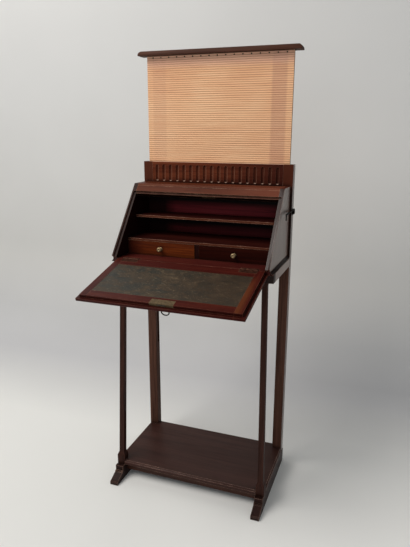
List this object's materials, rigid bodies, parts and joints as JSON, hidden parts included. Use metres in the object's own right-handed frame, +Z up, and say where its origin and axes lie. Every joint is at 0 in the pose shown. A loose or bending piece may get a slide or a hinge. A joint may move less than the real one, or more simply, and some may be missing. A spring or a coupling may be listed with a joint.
{
  "type": "writing desk",
  "caption": "Slope-front writing desk with a fall-down writing flap, small drawers and shelves inside, a low shelf, and a ribbed cloth screen that rises behind it.",
  "frame": {"origin": "on the ground, under the middle of the desk as it stands with its fall open", "axes": "+X to the right of someone who sits at the desk, +Y to the back, +Z up"},
  "size_m": [0.498, 0.4696, 1.3109],
  "materials": {
    "mahogany": "french polish, glossy",
    "inner_wood": "waxed, satin",
    "screen_frame_wood": "plain sawn, matt",
    "writing_leather": "worn, satin",
    "screen_cloth": "ribbed, faded",
    "brass": "aged, dull",
    "lock_steel": "aged, dull",
    "catch_iron": "blackened"
  },
  "bodies": {
    "desk": {"base_back_rail": "mahogany", "base_end_rail_left": "mahogany", "base_end_rail_right": "mahogany", "base_front_rail": "mahogany", "case_back": "inner_wood", "case_floor": "mahogany", "case_side_left": "mahogany", "case_side_right": "mahogany", "case_top": "mahogany", "catch_rose": "catch_iron", "drawer_divider": "inner_wood", "drawer_shelf": "inner_wood", "fascia_rail": "mahogany", "frieze_board": "mahogany", "front_leg_left": "mahogany", "front_leg_right": "mahogany", "hinge_floor_leaves": "brass", "hinge_floor_screws": "brass", "hinge_pins": "brass", "lock_strike_plate": "brass", "lower_shelf": "mahogany", "rear_post_left": "mahogany", "rear_post_right": "mahogany", "shelf_back_rail": "mahogany", "shelf_front_rail": "mahogany", "sled_left": "mahogany", "sled_right": "mahogany", "upper_shelf": "inner_wood"},
    "fall": {"escutcheon": "brass", "flap_board": "mahogany", "flap_clamp_left": "mahogany", "flap_clamp_right": "mahogany", "flap_front_rail": "mahogany", "flap_rear_rail": "mahogany", "hinge_flap_leaves": "brass", "hinge_flap_screws": "brass", "lock_case": "lock_steel", "lock_face_plate": "brass", "writing_leather": "writing_leather"},
    "key": {"key": "lock_steel"},
    "bolt": {"lock_bolt": "lock_steel"},
    "screen": {"screen_bottom_rail": "screen_frame_wood", "screen_cap": "mahogany", "screen_cloth": "screen_cloth", "screen_stile_left": "screen_frame_wood", "screen_stile_right": "screen_frame_wood", "screen_tacks": "brass", "screen_top_rail": "screen_frame_wood"},
    "drawer_left": {"drawer_back_left": "inner_wood", "drawer_bottom_left": "inner_wood", "drawer_front_left": "mahogany", "drawer_knob_left": "brass", "drawer_sides_left": "inner_wood"},
    "drawer_right": {"drawer_back_right": "inner_wood", "drawer_bottom_right": "inner_wood", "drawer_front_right": "mahogany", "drawer_knob_right": "brass", "drawer_sides_right": "inner_wood"},
    "catch": {"catch_lever": "catch_iron"}
  },
  "joints": [
    {"name": "fall_hinge", "type": "hinge", "parent": "desk", "child": "fall", "pos_m": [0, -0.02334, 0.7211], "axis": [-1, 0, 0], "range_deg": [0, 142.55]},
    {"name": "bolt_slide", "type": "slide", "parent": "fall", "child": "bolt", "axis": [0, -0.9699, -0.2436], "range_m": [0, 0.008]},
    {"name": "key_turn", "type": "hinge", "parent": "fall", "child": "key", "pos_m": [0.0155, -0.21643, 0.66435], "axis": [0, 0.2436, -0.9699], "range_deg": [0, 90]},
    {"name": "screen_slide", "type": "slide", "parent": "desk", "child": "screen", "axis": [0, 0, 1], "range_m": [-0.3108, 0]},
    {"name": "drawer_left_slide", "type": "slide", "parent": "desk", "child": "drawer_left", "axis": [0, 1, 0], "range_m": [-0.06, 0]},
    {"name": "drawer_right_slide", "type": "slide", "parent": "desk", "child": "drawer_right", "axis": [0, 1, 0], "range_m": [-0.06, 0]},
    {"name": "catch_turn", "type": "hinge", "parent": "desk", "child": "catch", "pos_m": [0.24, 0.21426, 0.84794], "axis": [1, 0, 0], "range_deg": [0, 75]}
  ],
  "couplings": [
    {"joint": "key_turn", "follows": "bolt_slide", "rad_per_m": 196.3}
  ]
}
